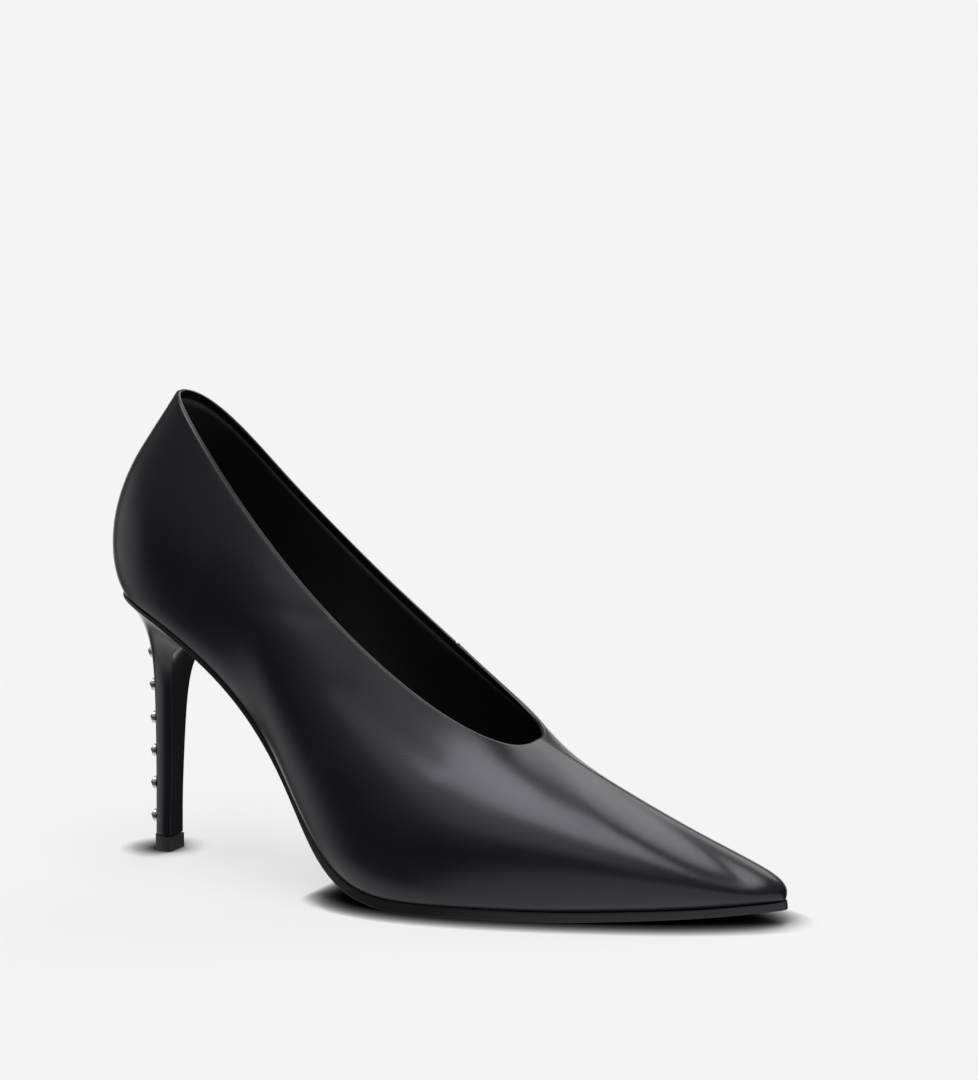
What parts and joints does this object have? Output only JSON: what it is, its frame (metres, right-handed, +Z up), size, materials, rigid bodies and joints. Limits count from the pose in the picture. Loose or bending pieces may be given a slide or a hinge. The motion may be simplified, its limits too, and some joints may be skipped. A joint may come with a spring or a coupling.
{
  "type": "stiletto pump",
  "caption": "Right black leather pump with a pointed toe, a high vamp with a rounded throat, a slim stiletto heel and metal studs down the heel's back.",
  "frame": {"origin": "on the floor under the middle of the shoe's box, with the shoe standing on its tread and top lift", "axes": "+X from heel to toe, +Y to the medial side of this right shoe, +Z up"},
  "size_m": [0.2348, 0.082, 0.1532],
  "materials": {
    "leather": "smooth black leather, soft satin shine",
    "sole": "black sole leather with an inked edge",
    "lining": "matte black lining leather",
    "heel_cover": "black heel cover, glossier than the upper",
    "lift": "matte black wearing piece",
    "stud_metal": "polished silver metal"
  },
  "bodies": {
    "root": {"upper": "leather", "outsole": "sole", "insole": "lining", "heel": "heel_cover", "top_lift": "lift", "back_tab": "leather", "stud_1": "stud_metal", "stud_2": "stud_metal", "stud_3": "stud_metal", "stud_4": "stud_metal", "stud_5": "stud_metal", "stud_6": "stud_metal"}
  },
  "joints": []
}
